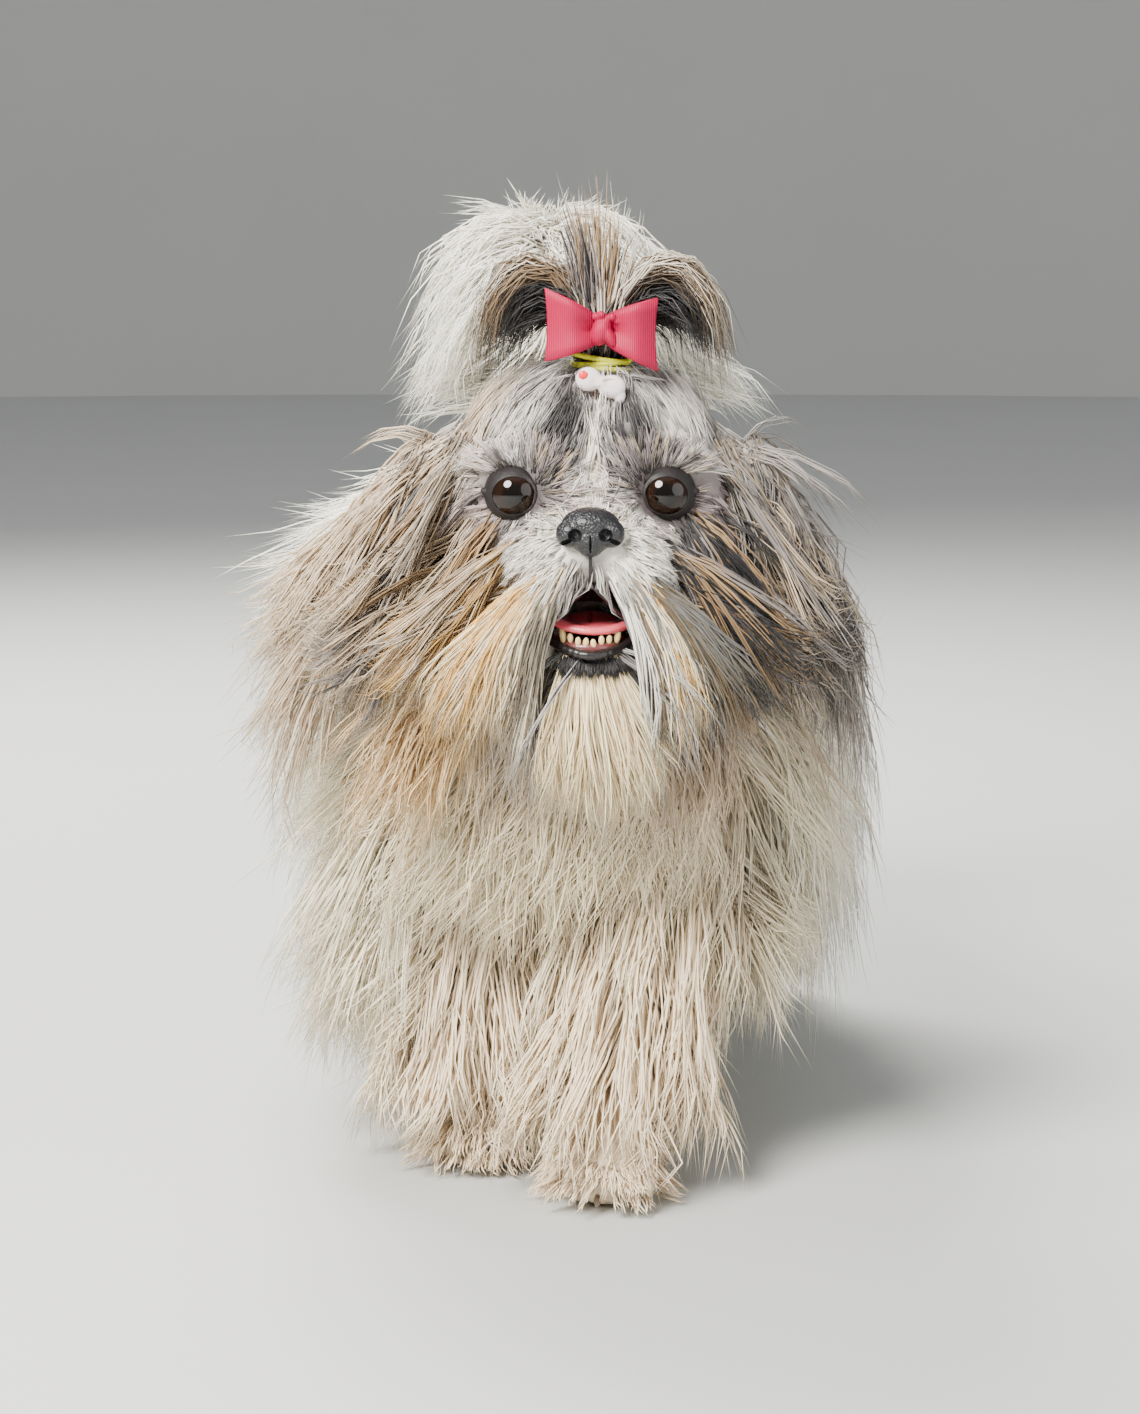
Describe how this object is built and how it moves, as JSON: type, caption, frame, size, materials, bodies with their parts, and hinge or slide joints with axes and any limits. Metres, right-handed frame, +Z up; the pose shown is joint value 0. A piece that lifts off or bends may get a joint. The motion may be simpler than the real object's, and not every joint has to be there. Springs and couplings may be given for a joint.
{
  "type": "shih tzu",
  "caption": "Life-size still model of a long-coated shih tzu walking, mouth open, its topknot held by a pink bow and its plumed tail over the back.",
  "frame": {"origin": "on the floor, under the middle of the dog's bounding box", "axes": "+Z up, the dog faces -Y, +X is its left side"},
  "size_m": [0.2636, 0.471, 0.3644],
  "materials": {
    "white_coat": "long soft white hair",
    "cream_coat": "long soft cream hair",
    "face_coat": "short white hair with grey and tan",
    "gold_coat": "golden beard hair",
    "grey_coat": "long tan and grey hair",
    "charcoal_coat": "long charcoal hair with tan streaks",
    "paw": "short white hair over the foot",
    "nose_leather": "damp black, finely grained",
    "tongue": "moist pink",
    "tooth": "yellowed enamel",
    "eye": "very dark brown, wet gloss",
    "ribbon": "ribbed hot pink ribbon",
    "elastic": "yellow-green latex",
    "clip": "clear pinkish plastic"
  },
  "bodies": {
    "root": {"torso": "white_coat", "neck": "cream_coat", "head": "face_coat", "jaw": "gold_coat", "nose": "nose_leather", "tongue": "tongue", "teeth_lower": "tooth", "eye_left": "eye", "ear_left": "grey_coat", "bow_loop_left": "ribbon", "eye_right": "eye", "ear_right": "grey_coat", "bow_loop_right": "ribbon", "bow_knot": "ribbon", "hair_band": "elastic", "hair_clip": "clip", "topknot": "charcoal_coat", "tail": "white_coat", "foreleg_left": "cream_coat", "forepaw_left": "paw", "foreleg_right": "cream_coat", "forepaw_right": "paw", "hindleg_left": "white_coat", "hindpaw_left": "paw", "hindleg_right": "white_coat", "hindpaw_right": "paw"}
  },
  "joints": []
}
